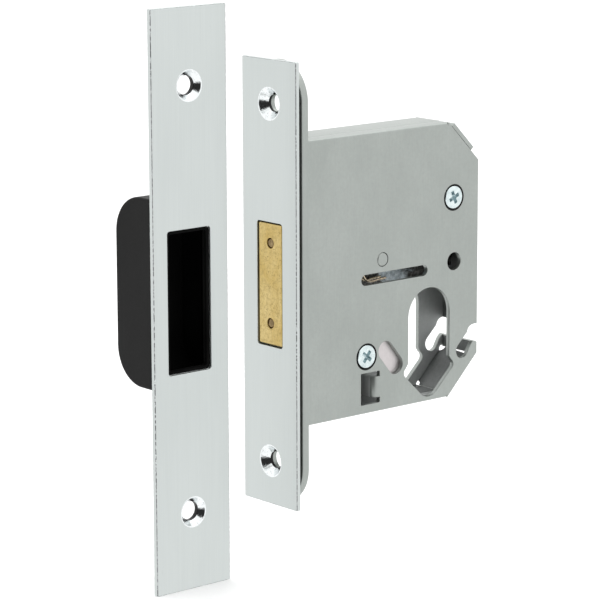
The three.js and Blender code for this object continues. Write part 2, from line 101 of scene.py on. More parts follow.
# The lower corner's relief holes: each centre, and the angles where it cuts the far wall.
LOW_RELIEFS = (((REAR - CHAMFER_LOW + 1, -TOP + 1.4), 205, 32.5),
               ((REAR - 1.5, -TOP + CHAMFER_LOW - 0.8), 247.4, 60))
CORNER = {"start": 0.7, "end": 0.9, "taper": 0.75}  # flange of the lower corner
LUG_Z, LUG_HALF, LUG_FIT = 30, 4, 0.12

CYLINDER = {"y": 56.5, "z": -15.7, "radius": 8.5, "neck": -29.6, "ear": 1.7, "ear_z": -32.3,
            "toe": 4.8, "toe_z": -36.2}
UPPER_SCREW = (66.6, 19.3)
LOWER_SCREW = (31.3, -24.9)
GUIDE = (37.5, 3.8)
STUD_HOLE, PIN_HOLE = 2.17, 2.32  # radii round the guide stud and the pillars' ends
LONG_SLOT = ((30.7, -1.65), (54.05, -1.65), 1.65)  # both ends, and the radius
SLANT_SLOT = ((38.8, -24.1), (42.8, -29), 2.9)
ROUND_HOLE = ((66.7, -0.4), 2.75)
TAIL_X = -3.7  # x of the shoulder that the bolt's tail runs against
SCREW = {"head": 3.5, "thick": 1.9, "shank": 1.9, "length": 8.5}
POST = {"radius": 2.05, "shoulder": 3.5}
SCREW_RECESS = 3.85
SEAT_OFF = 0.22  # how far the screws sit off the middle of their seats
WINDOW = {"y0": 28.9, "root": 36.4, "z0": -39.6, "z1": -29.9}
TONGUE = {"bend": 2.5, "end": 1.6, "z0": -37.95, "z1": -31.55}  # its bend's radius, its tip's x
HARD_PIN = {"radius": 1.35, "upper": 12.2, "lower": -11.6, "bore": 0.2, "deep": 16}

STRIKE_THICK = 1.45
STRIKE_Y = (STRIKE_LOW.y + STRIKE_HIGH.y) / 2
STRIKE_SHEET_LOW = Vector((STRIKE_HIGH.x - STRIKE_THICK, STRIKE_LOW.y, STRIKE_LOW.z))
STRIKE_SCREWS = (61.35, -61.95)
KEEP = {"y": -32.5, "width": 15.5, "height": 41.6, "corner": 0.9}
BOX_GAP, BOX_WALL = 0.12, 1.6
BOX_CORNER = 11
COLLAR = {"outside": 0.3, "inside": 2.1, "deep": 1.0, "proud": 0.9}  # of the box's mouth

ARRIS = 0.14  # rounding of an ordinary cut edge
SMOOTH = math.radians(38)  # corners flatter than this shade as one surface


# -------- outlines
def arc(centre, radius, start, end, steps=12):
    """Points along an arc; angles are in degrees."""
    turns = [math.radians(start + (end - start) * i / steps) for i in range(steps + 1)]
    return [Vector((centre[0] + radius * math.cos(t), centre[1] + radius * math.sin(t)))
            for t in turns]


def circle(centre, radius, steps=64):
    return arc(centre, radius, 0, 360, steps)[:-1]


def fillet(points, radius, steps=5, closed=True):
    """Rounds the corners of a run of points by one radius, or by one radius for each corner."""
    points = [Vector(p) for p in points]
    radii = radius if isinstance(radius, (list, tuple)) else [radius] * len(points)
    result = []
    for i, (corner, r) in enumerate(zip(points, radii)):
        if r == 0 or (not closed and i in (0, len(points) - 1)):
            result.append(corner)
            continue
        back = (points[i - 1] - corner).normalized()
        ahead = (points[(i + 1) % len(points)] - corner).normalized()
        half = back.angle(ahead) / 2
        centre = corner + (back + ahead).normalized() * (r / math.sin(half))
        first = corner + back * (r / math.tan(half)) - centre
        last = corner + ahead * (r / math.tan(half)) - centre
        sweep = math.atan2(first.x * last.y - first.y * last.x, first.dot(last))
        for k in range(steps + 1):
            turn = sweep * k / steps
            c, s = math.cos(turn), math.sin(turn)
            result.append(centre + Vector((first.x * c - first.y * s, first.x * s + first.y * c)))
    return result


def rectangle(low, high, corner, steps=5):
    (a0, b0), (a1, b1) = low, high
    return fillet([(a0, b0), (a1, b0), (a1, b1), (a0, b1)], corner, steps)


def centred(a, b, width, height, corner, steps=5):
    reach = Vector((width / 2, height / 2))
    return rectangle(Vector((a, b)) - reach, Vector((a, b)) + reach, corner, steps)


def obround(start, end, radius, steps=16):
    along = math.degrees(math.atan2(end[1] - start[1], end[0] - start[0]))
    return arc(end, radius, along - 90, along + 90, steps) + arc(
        start, radius, along + 90, along + 270, steps)


def curve(start, control, end, steps=5):
    """Points after the start of a quadratic curve, its end among them."""
    start, control, end = Vector(start), Vector(control), Vector(end)
    shares = [i / steps for i in range(1, steps + 1)]
    return [start * (1 - t) ** 2 + control * 2 * t * (1 - t) + end * t ** 2 for t in shares]


def bite(before, corner, after, radius, steps=10):
    """A corner of an outline with a round relief hole punched through it."""
    corner = Vector(corner)
    back = (Vector(before) - corner).normalized()
    ahead = (Vector(after) - corner).normalized()
    sweep = math.atan2(back.x * ahead.y - back.y * ahead.x, back.dot(ahead))
    result = []
    for k in range(steps + 1):
        c, s = math.cos(sweep * k / steps), math.sin(sweep * k / steps)
        result.append(corner + Vector((back.x * c - back.y * s, back.x * s + back.y * c)) * radius)
    return result


def wound(outline):
    """The outline, running anticlockwise."""
    area = sum(a.x * b.y - a.y * b.x for a, b in zip(outline, outline[1:] + outline[:1]))
    return outline if area > 0 else outline[::-1]


# -------- meshes with their own normals
class Plane:
    """Where an outline lies: its origin, its two directions, and the way that depth runs."""

    def __init__(self, origin, across, up, depth):
        self.origin, self.depth = Vector(origin), Vector(depth)
        self.across, self.up = Vector(across), Vector(up)

    def point(self, flat, depth):
        return self.origin + self.across * flat.x + self.up * flat.y + self.depth * depth

    def normal(self, side, part):
        """A normal from its share along a direction in the plane and its share along depth."""
        flat = self.across * side.x + self.up * side.y
        return (flat * part[0] + self.depth * part[1]).normalized()


def facing_front(y):
    """Outlines in (x, z) whose depth runs into the door from y."""
    return Plane((0, y, 0), (1, 0, 0), (0, 0, 1), (0, 1, 0))


def facing_cover(x):
    """Outlines in (y, z) whose depth runs toward -X from x."""
    return Plane((x, 0, 0), (0, 1, 0), (0, 0, 1), (-1, 0, 0))


def facing_far(x):
    """Outlines in (y, z) whose depth runs toward +X from x."""
    return Plane((x, 0, 0), (0, 1, 0), (0, 0, 1), (1, 0, 0))


def facing_down(z):
    """Outlines in (x, y) whose depth runs upward from z."""
    return Plane((0, 0, z), (1, 0, 0), (0, 1, 0), (0, 0, 1))


def blended(own, other, limit=SMOOTH):
    """The shading normal where two surfaces meet: shared if they are nearly in line."""
    own, other = Vector(own), Vector(other)
    if own.angle(other, math.pi) > limit:
        return own
    return (own + other).normalized()


# Corners of a face in a swept strip: (0 here or 1 next round, 0 this step or 1 the next).
QUAD = ((0, 0), (1, 0), (1, 1), (0, 1))


class Hole:
    """An opening in a plate; a blind one has a floor, and square picks the sharp corners."""

    def __init__(self, outline, profile, slot=0, blind=False, square=None):
        self.outline, self.profile, self.slot = outline, profile, slot
        self.blind, self.square = blind, square


class Solid:
    """Faces gathered into one mesh, each corner with the normal that it shades with."""

    def __init__(self):
        self.points, self.faces, self.normals, self.slots = {}, [], [], []

    def face(self, corners, normals, slot=0):
        keys = [tuple(round(c, 4) for c in corner) for corner in corners]
        kept = [i for i in range(len(keys)) if keys[i] != keys[i - 1]]
        if len(set(keys)) < 3 or len(kept) < 3:
            return
        flat = Vector((0, 0, 0))
        for here, there in zip(kept, kept[1:] + kept[:1]):
            flat += Vector(corners[here]).cross(Vector(corners[there]))
        if flat.dot(sum((Vector(normals[i]) for i in kept), Vector((0, 0, 0)))) < 0:
            kept.reverse()
        self.faces.append([self.points.setdefault(keys[i], len(self.points)) for i in kept])
        self.normals.extend(Vector(normals[i]) for i in kept)
        self.slots.append(slot)

    def cap(self, plane, rings, depth, normal, slot=0):
        """Fills the flat area between an outer ring and the rings of its holes."""
        loops = [[Vector((p.x, p.y, 0)) for p in ring] for ring in rings]
        flat = [p for ring in rings for p in ring]
        for triangle in tessellate_polygon(loops):
            self.face([plane.point(flat[i], depth) for i in triangle], [normal] * 3, slot)

    def paint(self, slot, test):
        """Gives a material to the faces whose middle and normal pass a test."""
        spots = list(self.points)
        first = 0
        for i, face in enumerate(self.faces):
            middle = sum((Vector(spots[k]) for k in face), Vector()) / len(face)
            normal = sum(self.normals[first:first + len(face)], Vector()).normalized()
            first += len(face)
            if test(middle, normal):
                self.slots[i] = slot

    def rim(self, plane, outline, profile, inward, slot=0, square=None, floor=False):
        """Carries an outline through a profile of (inset, depth); returns the two end rings."""
        outline = wound([Vector(p) for p in outline])
        count = len(outline)
        thick = profile[-1][1]
        sides = []
        for here, there in zip(outline, outline[1:] + outline[:1]):
            along = (there - here).normalized()
            sides.append(Vector((-along.y, along.x)) * inward)
        miters = [(sides[i - 1] + sides[i]) / (1 + sides[i - 1].dot(sides[i]))
                  for i in range(count)]
        corners = [bool(square and square(p)) for p in outline]

        def place(i, k):
            inset, depth = profile[k]
            if corners[i]:
                inset, depth = 0, (0 if depth < thick / 2 else thick)
            return outline[i] + miters[i] * inset, depth

        steps = []
        for (i0, d0), (i1, d1) in zip(profile, profile[1:]):
            steps.append(Vector((d0 - d1, i1 - i0)).normalized())
        bends = [Vector((0, -1))] + steps + [Vector((0, -1 if floor else 1))]

        def met(own, other):
            at_cap = other is bends[0] or other is bends[-1]
            return other if at_cap and own.angle(other) <= SMOOTH else blended(own, other)

        shades = [(met(own, before), met(own, after))
                  for before, own, after in zip(bends, bends[1:], bends[2:])]
        for i in range(count):
            ends = (i, (i + 1) % count)
            tilts = (blended(sides[i], sides[i - 1]), blended(sides[i], sides[ends[1]]))
            for k, shade in enumerate(shades):
                spots = [place(ends[e], k + s) for e, s in QUAD]
                self.face([plane.point(flat, depth) for flat, depth in spots],
                          [plane.normal(tilts[e], shade[s]) for e, s in QUAD], slot)
        return ([place(i, 0)[0] for i in range(count)],
                [place(i, len(profile) - 1)[0] for i in range(count)])

    def plate(self, plane, thick, outline, holes=(), edge=None, square=None, slot=0):
        """A plate with rounded edges and holes."""
        edge = edge or arris(thick)
        first, last = self.rim(plane, outline, edge, 1, slot, square)
        front, back = [first], [last]
        for hole in holes:
            first, last = self.rim(plane, hole.outline, hole.profile, -1, hole.slot, hole.square,
                                   hole.blind)
            front.append(first)
            if hole.blind:
                depth = hole.profile[-1][1]
                self.cap(plane, [last], depth, plane.normal(Vector((0, 0)), (0, -1)), hole.slot)
            else:
                back.append(last)
        self.cap(plane, front, 0, -plane.depth, slot)
        self.cap(plane, back, thick, plane.depth, slot)
        return self

    def turned(self, plane, centre, profile, slot=0, steps=64):
        """A turned solid; its profile of (radius, depth) starts and ends on the axis."""
        centre = Vector(centre)
        ways = [Vector((math.cos(t), math.sin(t)))
                for t in (math.tau * i / steps for i in range(steps))]
        bends = []
        for (r0, d0), (r1, d1) in zip(profile, profile[1:]):
            bends.append(Vector((d1 - d0, r0 - r1)).normalized())
        for k, own in enumerate(bends):
            start = blended(own, bends[k - 1]) if k else own
            end = blended(own, bends[k + 1]) if k + 1 < len(bends) else own
            for i in range(steps):
                pair = (ways[i], ways[(i + 1) % steps])
                self.face([plane.point(centre + pair[e] * profile[k + s][0], profile[k + s][1])
                           for e, s in QUAD],
                          [plane.normal(pair[e], (start, end)[s]) for e, s in QUAD], slot)
        return self

    def piece(self, name, materials):
        """The gathered faces as an object, in metres."""
        mesh = bpy.data.meshes.new(name)
        mesh.from_pydata([Vector(p) * MM for p in self.points], [], self.faces)
        for material in materials:
            mesh.materials.append(material)
        mesh.polygons.foreach_set("material_index", self.slots)
        mesh.polygons.foreach_set("use_smooth", [True] * len(self.faces))
        mesh.normals_split_custom_set(self.normals)
        made = bpy.data.objects.new(name, mesh)
        bpy.context.scene.collection.objects.link(made)
        return made


def arris(thick, front=ARRIS, back=ARRIS, steps=3):
    """Profile of a plate's edge with both corners rounded."""
    points = [(front, 0), (0, 0), (0, thick), (back, thick)]
    return fillet(points, [0, front * 0.98, back * 0.98, 0], steps, closed=False)


def dimple(rim, through, thick):
    """Profile of a countersink pressed through a plate, as insets from its rim."""
    wall = through + DIMPLE_WALL
    points = [(rim + 0.25, 0), (rim, 0), (through, rim - through), (through, DIMPLE_DEEP),
              (wall, DIMPLE_DEEP), (wall, thick + DIMPLE_COLLAR), (rim + 0.1, thick)]
    run = fillet(points, [0, 0.5, 0.3, 0.2, 0.2, 0.3, 0], 5, closed=False)
    return [(p.x - rim, p.y) for p in run]


# -------- looks
class Look:
    """A material on the Principled shader, patterned in object space."""

    def __init__(self, name, metallic):
        self.material = bpy.data.materials.new(name)
        self.material.use_nodes = True
        self.tree = self.material.node_tree
        self.shader = self.tree.nodes["Principled BSDF"]
        self.shader.inputs["Metallic"].default_value = metallic
        self.place = self.tree.nodes.new("ShaderNodeTexCoord").outputs["Object"]

    def node(self, kind, **values):
        made = self.tree.nodes.new(kind)
        for key, value in values.items():
            setattr(made, key, value)
        return made

    def link(self, source, target):
        self.tree.links.new(source, target)

    def noise(self, per_mm, detail=2.0, roughness=0.5):
        """Noise with that many features to a millimetre along x, y and z."""
        mapping = self.node("ShaderNodeMapping")
        mapping.inputs["Scale"].default_value = [c / MM for c in per_mm]
        self.link(self.place, mapping.inputs["Vector"])
        noise = self.node("ShaderNodeTexNoise")
        for socket, number in (("Scale", 1), ("Detail", detail), ("Roughness", roughness)):
            noise.inputs[socket].default_value = number
        self.link(mapping.outputs["Vector"], noise.inputs["Vector"])
        return noise.outputs["Fac"]

    def axis(self, name):
        """One of the object's own coordinates, in metres."""
        parts = self.node("ShaderNodeSeparateXYZ")
        self.link(self.place, parts.inputs["Vector"])
        return parts.outputs[name]

    def spread(self, value, low, high, start, end):
        """Maps the part of a value from low to high onto start to end."""
        mapped = self.node("ShaderNodeMapRange")
        for socket, number in zip(("From Min", "From Max", "To Min", "To Max"),
                                  (low, high, start, end)):
            mapped.inputs[socket].default_value = number
        self.link(value, mapped.inputs["Value"])
        return mapped.outputs["Result"]

    def math(self, operation, a, b):
        made = self.node("ShaderNodeMath", operation=operation)
        for socket, value in zip(made.inputs, (a, b)):
            if isinstance(value, (int, float)):
                socket.default_value = value
            else:
                self.link(value, socket)
        return made.outputs["Value"]

    def fade(self, value, low, high, a, b, share=1):
        """Colour a where a value is low, moving to a share of colour b where it is high."""
        return self.mix(self.spread(value, low, high, 0, share), a, b)

    def mix(self, factor, a, b):
        """Colour a where the factor is 0 and b where it is 1."""
        made = self.node("ShaderNodeMix", data_type="RGBA")
        self.link(factor, made.inputs["Factor"])
        for socket, value in ((made.inputs[6], a), (made.inputs[7], b)):
            if isinstance(value, tuple):
                socket.default_value = (*value, 1)
            else:
                self.link(value, socket)
        return made.outputs[2]

    def finish(self, colour, roughness, height=None, distance=0.01, strength=0.5):
        """Joins colour, roughness and height; distance is the relief's depth in millimetres."""
        self.link(colour, self.shader.inputs["Base Color"])
        self.link(roughness, self.shader.inputs["Roughness"])
        if height is not None:
            bump = self.node("ShaderNodeBump")
            bump.inputs["Distance"].default_value = distance * MM
            bump.inputs["Strength"].default_value = strength
            self.link(height, bump.inputs["Height"])
            self.link(bump.outputs["Normal"], self.shader.inputs["Normal"])
        return self.material


def painted_shade_and_highlight(look, start, end):
    """Colour of zinc plate as painted shade, with a band of painted highlight between two places
    along y.
    """
    wander = look.spread(look.noise((0.3, 0.3, 0.5), 4, 0.65), 0.3, 0.7, -3 * MM, 3 * MM)
    spot = look.math("ADD", look.axis("Y"), wander)
    painted_highlight_band = look.math("MULTIPLY", look.spread(spot, start * MM, (start + 2) * MM, 0, 1),
                      look.spread(spot, (end - 4) * MM, end * MM, 1, 0))
    patches = look.spread(look.noise((0.7, 0.7, 0.7), 5, 0.75), 0.4, 0.65, 0, 1)
    # The dark tone is painted shade and the bright tone is painted highlight, both mottled.
    painted_shade_tone = look.mix(patches, (0.035, 0.034, 0.03), (0.25, 0.25, 0.24))
    bright = look.mix(patches, (0.42, 0.49, 0.52), (0.86, 0.93, 0.96))
    return look.mix(painted_highlight_band, painted_shade_tone, bright)


def chrome_look():
    """Satin chrome, linished along its length, with faint handling marks."""
    look = Look("chrome_satin", 1.0)
    cloud = look.noise((0.05, 0.05, 0.02), 3)
    lines = look.noise((3.5, 3.5, 0.03), 3, 0.6)
    nicks = look.noise((0.9, 0.9, 0.25), 4, 0.7)
    tone = look.fade(cloud, 0.35, 0.65, (0.54, 0.575, 0.565), (0.575, 0.61, 0.60))
    tone = look.fade(lines, 0.3, 0.7, tone, (0.48, 0.51, 0.51), 0.2)
    tone = look.fade(nicks, 0.66, 0.74, tone, (0.38, 0.40, 0.41), 0.2)
    rough = look.math("ADD", look.spread(lines, 0.2, 0.8, 0.38, 0.46), look.spread(
        cloud, 0.3, 0.7, -0.03, 0.03))
    return look.finish(tone, rough, lines, 0.003, 0.2)


def edge_look():
    """Plated arris of a cut edge: dark as painted shade, with bright rubbed spots."""
    look = Look("chrome_edge_painted_shade", 0.9)
    rub = look.noise((2.2, 2.2, 1.3), 3, 0.6)
    cloud = look.noise((0.3, 0.3, 0.05), 3)
    tone = look.fade(rub, 0.5, 0.58, (0.10, 0.105, 0.11), (0.72, 0.75, 0.75))
    tone = look.fade(cloud, 0.42, 0.6, tone, (0.34, 0.35, 0.355), 0.6)
    rough = look.spread(rub, 0.3, 0.7, 0.4, 0.55)
    return look.finish(tone, rough, rub, 0.01, 0.4)


def polish_look():
    """Bright chrome of a countersink."""
    look = Look("chrome_bright", 1.0)
    cloud = look.noise((0.4, 0.4, 0.4), 3)
    swirl = look.noise((1.3, 1.3, 1.3), 4, 0.65)
    tone = look.mix(cloud, (0.72, 0.75, 0.755), (0.82, 0.85, 0.855))
    tone = look.fade(swirl, 0.56, 0.64, tone, (0.30, 0.31, 0.32), 0.4)
    rough = look.spread(swirl, 0.3, 0.7, 0.05, 0.14)
    return look.finish(tone, rough, swirl, 0.08, 0.7)


def steel_look(name, dark, light, rough=(0.34, 0.46), metallic=0.85, painted_shade_and_highlight_above=None):
    """Zinc-flashed rolled steel with grain, clouding and scuffs; above a height, if one is given,
    painted shade with a band of painted highlight.
    """
    look = Look(name, metallic)
    cloud = look.noise((0.06, 0.06, 0.04), 4, 0.55)
    grain = look.noise((2.2, 2.2, 0.12), 4, 0.65)
    speck = look.noise((1.1, 1.1, 1.1), 4, 0.65)
    scuff = look.noise((0.35, 0.35, 1.4), 5, 0.75)
    tone = look.fade(cloud, 0.35, 0.65, dark, light)
    for mark, low, high, shade, share in (
            (grain, 0.3, 0.7, 0.85, 0.15), (speck, 0.35, 0.7, 0.88, 0.35),
            (scuff, 0.68, 0.78, 0.7, 0.35)):
        tone = look.fade(mark, low, high, tone, tuple(c * shade for c in dark), share)
    if painted_shade_and_highlight_above is not None:
        level = painted_shade_and_highlight_above * MM
        tone = look.fade(look.axis("Z"), level - MM, level + MM, tone, painted_shade_and_highlight(look, 49, 61))
    shine = look.math("ADD", look.spread(grain, 0.2, 0.8, *rough), look.spread(
        cloud, 0.3, 0.7, -0.04, 0.04))
    height = look.math("ADD", grain, look.math("MULTIPLY", speck, 0.5))
    return look.finish(tone, shine, height, 0.006, 0.3)


def brass_look():
    """Drawn brass, sawn and tumbled: mottled tone, fine pits and hairlines."""
    look = Look("brass_drawn", 1.0)
    cloud = look.noise((0.2, 0.2, 0.1), 4, 0.6)
    lines = look.noise((3.0, 3.0, 0.35), 4, 0.7)
    pits = look.spread(look.noise((3.0, 3.0, 2.4), 3, 0.65), 0.56, 0.66, 0, 1)
    tarnish = look.spread(look.noise((1.1, 1.1, 0.9), 6, 0.8), 0.48, 0.62, 0, 1)
    tone = look.fade(cloud, 0.35, 0.65, (0.515, 0.378, 0.128), (0.625, 0.497, 0.225))
    tone = look.fade(lines, 0.35, 0.7, tone, (0.46, 0.33, 0.13), 0.3)
    tone = look.mix(look.math("MULTIPLY", tarnish, 0.55), tone, (0.36, 0.27, 0.10))
    tone = look.mix(look.math("MULTIPLY", pits, 0.75), tone, (0.22, 0.16, 0.06))
    rough = look.math("ADD", look.spread(lines, 0.2, 0.8, 0.28, 0.44), look.math(
        "MULTIPLY", tarnish, 0.12))
    height = look.math("SUBTRACT", lines, pits)
    return look.finish(tone, rough, height, 0.014, 0.5)


def zinc_look(name="zinc_bright", dark=(0.52, 0.60, 0.61), light=(0.74, 0.82, 0.82),
              metallic=1.0):
    """Bright blue-white zinc plate."""
    look = Look(name, metallic)
    cloud = look.noise((0.5, 0.5, 0.5), 4, 0.6)
    grain = look.noise((4.0, 4.0, 4.0), 3, 0.6)
    tone = look.fade(cloud, 0.35, 0.65, dark, light)
    rough = look.spread(grain, 0.3, 0.7, 0.2, 0.34)
    return look.finish(tone, rough, grain, 0.008, 0.3)


def painted_shade_and_highlight_look():
    """Zinc plate given painted shade, with a band of painted highlight along one stretch."""
    look = Look("zinc_painted_shade_and_highlight", 0.5)
    grain = look.noise((0.7, 0.7, 0.7), 5, 0.75)
    rough = look.spread(grain, 0.3, 0.7, 0.25, 0.5)
    return look.finish(painted_shade_and_highlight(look, 43, 56), rough, grain, 0.05, 0.6)


def hard_steel_look():
    """Oil-blackened hardened steel, clouded dark brown."""
    look = Look("steel_blackened", 0.85)
    cloud = look.noise((0.8, 0.8, 0.8), 4, 0.6)
    grain = look.noise((3.0, 3.0, 3.0), 3, 0.6)
    tone = look.fade(cloud, 0.35, 0.65, (0.16, 0.11, 0.05), (0.38, 0.28, 0.14))
    rough = look.spread(grain, 0.3, 0.7, 0.38, 0.55)
    return look.finish(tone, rough, grain, 0.02, 0.5)


def wire_look():
    """Phosphor bronze spring wire with drawing lines along it."""
    look = Look("bronze_wire", 1.0)
    cloud = look.noise((0.6, 0.6, 0.6), 3)
    lines = look.noise((6.0, 0.8, 0.8), 3, 0.6)
    tone = look.fade(cloud, 0.3, 0.7, (0.60, 0.48, 0.34), (0.80, 0.69, 0.52))
    rough = look.spread(lines, 0.3, 0.7, 0.22, 0.36)
    return look.finish(tone, rough, lines, 0.006, 0.3)


def plastic_look(name="plastic_black", gloss=0.12):
    """Black moulded plastic with a fine spark-eroded texture."""
    look = Look(name, 0.0)
    look.shader.inputs["Specular IOR Level"].default_value = gloss
    cloud = look.noise((0.08, 0.08, 0.05), 3)
    grain = look.noise((3.5, 3.5, 3.5), 4, 0.6)
    scuff = look.spread(look.noise((0.5, 0.5, 0.15), 5, 0.75), 0.62, 0.75, 0, 1)
    tone = look.fade(cloud, 0.3, 0.7, (0.004, 0.004, 0.004), (0.007, 0.007, 0.007))
    tone = look.mix(look.math("MULTIPLY", scuff, 0.3), tone, (0.016, 0.016, 0.017))
    rough = look.math("ADD", look.spread(grain, 0.3, 0.7, 0.42, 0.56), look.math(
        "MULTIPLY", scuff, 0.08))
    return look.finish(tone, rough, grain, 0.02, 0.35)


CHROME, PAINTED_SHADE_EDGE, POLISH, BRASS = chrome_look(), edge_look(), polish_look(), brass_look()
STEEL = steel_look("steel_satin", (0.335, 0.36, 0.342), (0.38, 0.405, 0.387))
INSIDE = {"rough": (0.5, 0.62), "metallic": 0.45}  # of the sheet's unpolished inside
# Above z = -9 the inside steel is painted shade with a band of painted highlight, where the long
# slot shows it.
RAW = steel_look("steel_raw", (0.34, 0.355, 0.35), (0.46, 0.48, 0.472), painted_shade_and_highlight_above=-9,
                 **INSIDE)
# Lighter copy of the inside steel: painted light on the tongue seen in the window.
PAINTED_LIGHT_STEEL = steel_look("steel_painted_light", (0.50, 0.52, 0.512), (0.66, 0.685, 0.675), **INSIDE)
# Dark copy of the inside steel: painted shade on the flanges inside the case.
PAINTED_SHADE_STEEL = steel_look("steel_painted_shade", (0.16, 0.168, 0.165), (0.24, 0.25, 0.247), **INSIDE)
COATED = steel_look("steel_coated", (0.56, 0.53, 0.53), (0.64, 0.61, 0.61))
# Near-black steel: painted shade in the countersinks' through holes and round the cover screws'
# seats.
PAINTED_SHADE_BORE = steel_look("bore_painted_shade", (0.015, 0.015, 0.015), (0.04, 0.04, 0.04), (0.35, 0.5))
ZINC, SHADED = zinc_look(), zinc_look("zinc_recess", (0.34, 0.43, 0.45), (0.52, 0.62, 0.64))
DULL = zinc_look("zinc_dull", (0.56, 0.63, 0.66), (0.80, 0.87, 0.89), 0.4)
HARD, WIRE, PAINTED_SHADE_AND_HIGHLIGHT_ZINC = hard_steel_look(), wire_look(), painted_shade_and_highlight_look()
PLASTIC, MATT = plastic_look(), plastic_look("plastic_inside", 0)


# -------- which faces a look goes to
def on_arris(middle, normal, low, high):
    """Whether a face is one of the rounded ones along a plate's upright edges."""
    reach = 0.25
    sides = sum(1 for a in range(3) if min(middle[a] - low[a], high[a] - middle[a]) < reach)
    return sides > 1 and max(abs(c) for c in normal) < 0.99 and abs(normal.z) < 0.3


def in_bore(centres, axis, through):
    """A test for the faces round the countersinks' through holes, along x (0) or y (1)."""
    def test(middle, normal):
        flat = Vector((middle[1 - axis], middle.z))
        return any((flat - Vector(c)).length < through for c in centres)
    return test


def in_case(middle, normal):
    """Whether a face belongs to the inside of the case."""
    near = 0.02
    low_corner = (middle.z - middle.y + REAR - CHAMFER_LOW + TOP) / math.sqrt(2)
    top_corner = (REAR - CHAMFER_TOP + TOP - middle.y - middle.z) / math.sqrt(2)
    return (abs(middle.x) < INNER + near and FRONT < middle.y < REAR - SHEET + near
            and abs(middle.z) < TOP - SHEET + near and low_corner > SHEET - near
            and top_corner > -0.12 - near)


# -------- forend
def faceplate():
    plane = facing_front(FACE_LOW.y)
    width, height, corner = MOUTH
    outline = rectangle((FACE_LOW.x, FACE_LOW.z), (FACE_HIGH.x, FACE_HIGH.z), 0.35, 3)
    holes = [Hole(centred(0, 0, width, height, corner), arris(FACE_THICK))]
    for z in (SCREW_Z, -SCREW_Z):
        profile = dimple(DIMPLE["rim"], DIMPLE["through"], FACE_THICK)
        holes.append(Hole(circle((0, z), DIMPLE["rim"]), profile, slot=1))
    solid = Solid().plate(plane, FACE_THICK, outline, holes, arris(FACE_THICK, 0.2, 0.15, 4))
    # The upright arrises get the dark edge look, which is painted shade along the plate's sides.
    solid.paint(2, lambda middle, normal: on_arris(middle, normal, FACE_LOW, FACE_HIGH))
    # The through holes' walls go near-black, as painted shade.
    solid.paint(3, in_bore([(0, SCREW_Z), (0, -SCREW_Z)], 1, DIMPLE["through"] + 0.1))
    return solid.piece("faceplate_shell", [CHROME, POLISH, PAINTED_SHADE_EDGE, PAINTED_SHADE_BORE])


def inner_forend():
    half = FOREND_HIGH.x
    end = FOREND_HIGH.z - half
    thick = FOREND_HIGH.y - FOREND_LOW.y
    width, height, corner = MOUTH
    holes = [Hole(centred(0, 0, width + 0.4, height + 0.4, corner), arris(thick))]
    nest = [(0.35, 0), (0.1, 0.2), (-1.45, 1.15), (-1.45, thick)]
    for side in (-1, 1):
        holes.append(Hole(circle((0, side * SCREW_Z), DIMPLE["rim"]), nest))
        for x in (-HALF + SHEET / 2, HALF - SHEET / 2):
            slot = centred(x, side * LUG_Z, SHEET + 2 * LUG_FIT, 2 * (LUG_HALF + LUG_FIT), 0.1, 1)
            holes.append(Hole(slot, arris(thick, 0.05, 0.05, 1)))
    plane = facing_front(FOREND_LOW.y)
    outline = obround((0, -end), (0, end), half, 40)
    solid = Solid().plate(plane, thick, outline, holes, arris(thick, 0.3, 0.3, 4))
    return solid.piece("inner_forend_plate", [STEEL])


# -------- openings of the case
def cylinder_hole():
    c = CYLINDER
    left, right = c["y"] - c["radius"], c["y"] + c["radius"]
    return (arc((c["y"], c["z"]), c["radius"], 0, 180, 32) + [Vector((left, c["neck"]))]
            + arc((left, c["ear_z"]), c["ear"], 122.4, 230.4, 8)
            + arc((c["y"], c["toe_z"]), c["toe"], 219.6, 320.4, 12)
            + arc((right, c["ear_z"]), c["ear"], 309.6, 417.6, 8) + [Vector((right, c["neck"]))])


def notch_edge(rear):
    """The rear notch, from its lower lip round to its top, as part of a wall's outline."""
    lower = [(rear, -26.85), (76.1, -26.5)] + curve((76.1, -26.5), (75.6, -26.3), (75.2, -26.35))
    foot = curve((75.2, -26.35), (74.2, -26.9), (73.4, -28.3))
    slot = arc((70.4, -28.6), 2.5, 342, 135, 16)
    head = curve((72.5, -23.2), (72.9, -21.1), (75.3, NOTCH_HIGH))
    return lower + foot + slot + [(72.5, -23.2)] + head + [(rear, NOTCH_HIGH)]


def at_fold(p):
    """Whether a corner of a wall's outline lies on the line where a flange is folded off it."""
    return abs(abs(p.y) - FOLD_Z) < 0.01 or abs(p.x - FOLD_REAR) < 0.01


def folded_flange(solid, plane, length, lip_x, side, edge, end_radius=0):
    """A flange and its folded corner, from the flange's end at lip_x round to the wall."""
    drop = math.copysign(1, edge)
    face, inner = side * HALF, side * INNER
    points = [(lip_x, edge), (face, edge), (face, edge - drop * FOLD), (inner, edge - drop * FOLD),
              (inner, edge - drop * SHEET), (lip_x, edge - drop * SHEET)]
    outline = fillet(points, [ARRIS, FOLD * 0.999, 0, 0, 0, end_radius], 6)
    solid.plate(plane, length, outline, edge=arris(length, 0.1, 0.1, 1))


def lugs(solid, low_x):
    """A wall's tenons, which key into the inner forend."""
    for z in (-LUG_Z, LUG_Z):
        outline = rectangle((low_x, z - LUG_HALF), (low_x + SHEET, z + LUG_HALF), 0.05, 1)
        solid.plate(facing_front(FOREND_LOW.y), FRONT - FOREND_LOW.y, outline)


